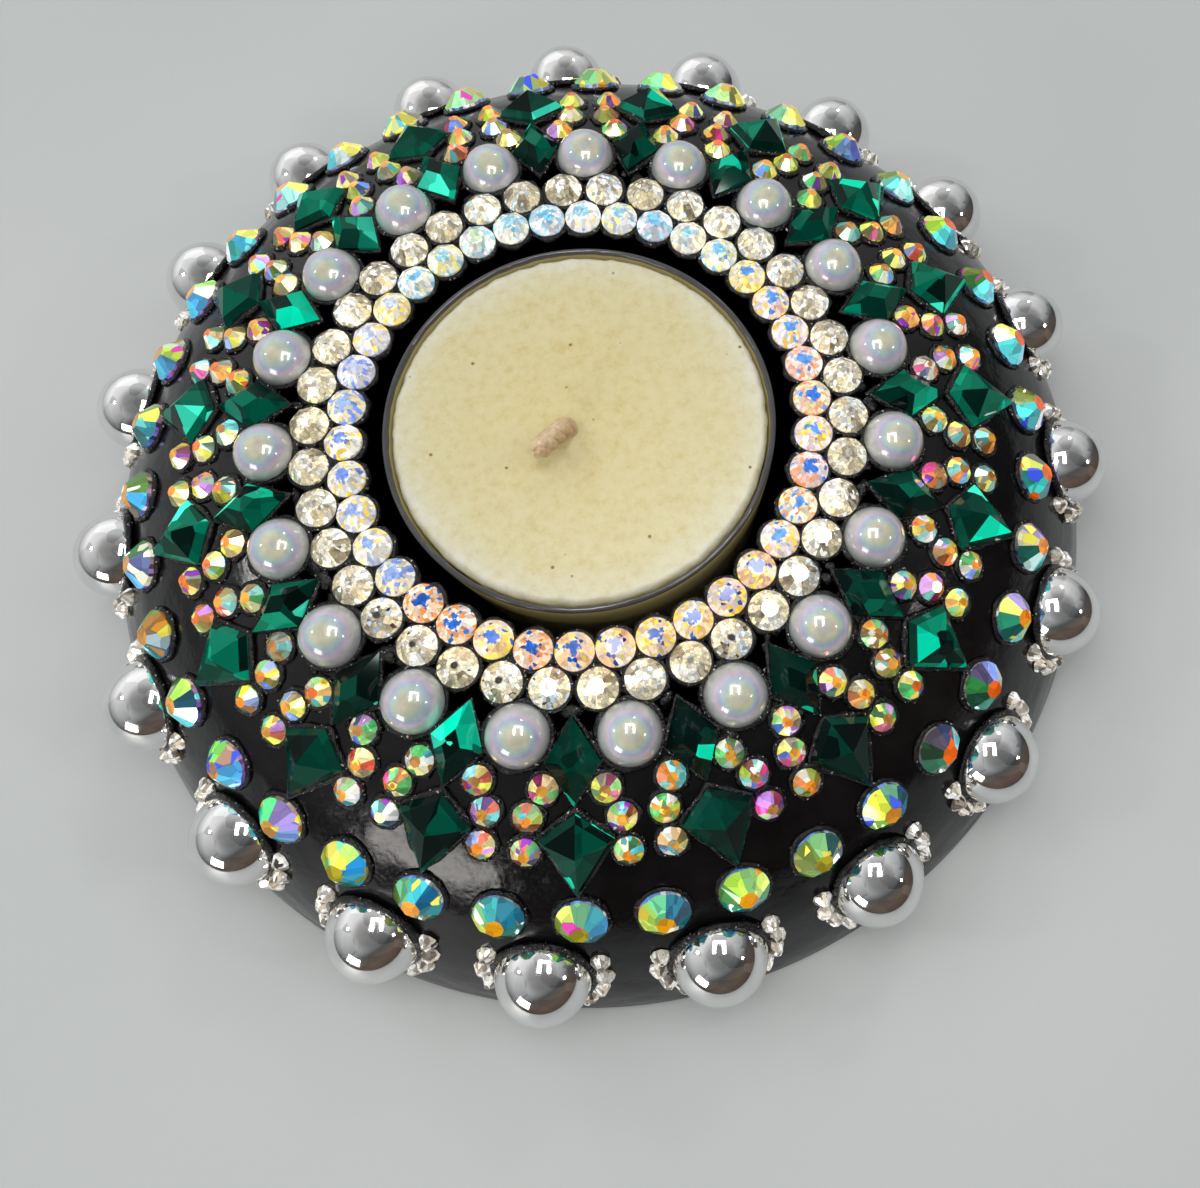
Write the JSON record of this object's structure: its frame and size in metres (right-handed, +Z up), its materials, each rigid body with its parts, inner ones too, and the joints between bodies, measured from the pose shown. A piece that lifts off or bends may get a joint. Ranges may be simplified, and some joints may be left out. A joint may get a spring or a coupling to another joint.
{
  "type": "candle ring",
  "caption": "Round domed candle ring covered in glued stones, pearls and silver half-beads, with a lift-out tealight in its central recess.",
  "frame": {"origin": "centre of the flat underside, on the turning axis of the dome and of the tealight recess", "axes": "+Z up along the turning axis, out of the tealight recess; +X and +Y are horizontal, with the first pearl at 53.7 degrees from +X"},
  "size_m": [0.1123, 0.1124, 0.027],
  "materials": {
    "black_gloss": "glossy black cast resin",
    "clear_cup": "thin clear plastic, dark against the holder",
    "cream_wax": "soft matt cream wax",
    "wick_cotton": "waxed braided cotton",
    "tab_metal": "thin tinned sheet",
    "opal_glass": "faceted, foil-backed, milky with yellow, peach and blue flashes",
    "foiled_clear_glass": "faceted, foil-backed, champagne clear",
    "emerald_glass": "faceted, foil-backed, deep green",
    "aurora_glass": "faceted, foil-backed, rainbow coated",
    "tiny_crystal": "faceted, foil-backed, warm clear",
    "pearl_lustre": "pale grey pearl coat with a pink and green lustre",
    "silver_mirror": "mirror silver plating"
  },
  "bodies": {
    "holder": {"accent_stones": "aurora_glass", "aurora_stones": "aurora_glass", "clear_stones": "foiled_clear_glass", "crystal_garlands": "tiny_crystal", "emerald_kites": "emerald_glass", "emerald_lozenges": "emerald_glass", "holder_body": "black_gloss", "opal_stones": "opal_glass", "pearl_01": "pearl_lustre", "pearl_02": "pearl_lustre", "pearl_03": "pearl_lustre", "pearl_04": "pearl_lustre", "pearl_05": "pearl_lustre", "pearl_06": "pearl_lustre", "pearl_07": "pearl_lustre", "pearl_08": "pearl_lustre", "pearl_09": "pearl_lustre", "pearl_10": "pearl_lustre", "pearl_11": "pearl_lustre", "pearl_12": "pearl_lustre", "pearl_13": "pearl_lustre", "pearl_14": "pearl_lustre", "pearl_15": "pearl_lustre", "pearl_16": "pearl_lustre", "pearl_17": "pearl_lustre", "pearl_18": "pearl_lustre", "pearl_19": "pearl_lustre", "silver_bead_01": "silver_mirror", "silver_bead_02": "silver_mirror", "silver_bead_03": "silver_mirror", "silver_bead_04": "silver_mirror", "silver_bead_05": "silver_mirror", "silver_bead_06": "silver_mirror", "silver_bead_07": "silver_mirror", "silver_bead_08": "silver_mirror", "silver_bead_09": "silver_mirror", "silver_bead_10": "silver_mirror", "silver_bead_11": "silver_mirror", "silver_bead_12": "silver_mirror", "silver_bead_13": "silver_mirror", "silver_bead_14": "silver_mirror", "silver_bead_15": "silver_mirror", "silver_bead_16": "silver_mirror", "silver_bead_17": "silver_mirror", "silver_bead_18": "silver_mirror", "silver_bead_19": "silver_mirror"},
    "tealight": {"candle_cup": "clear_cup", "candle_wax": "cream_wax", "candle_wick": "wick_cotton", "wick_sustainer": "tab_metal"}
  },
  "joints": [
    {"name": "tealight_lift", "type": "slide", "parent": "holder", "child": "tealight", "axis": [0, 0, 1], "range_m": [0, 0.03]}
  ]
}
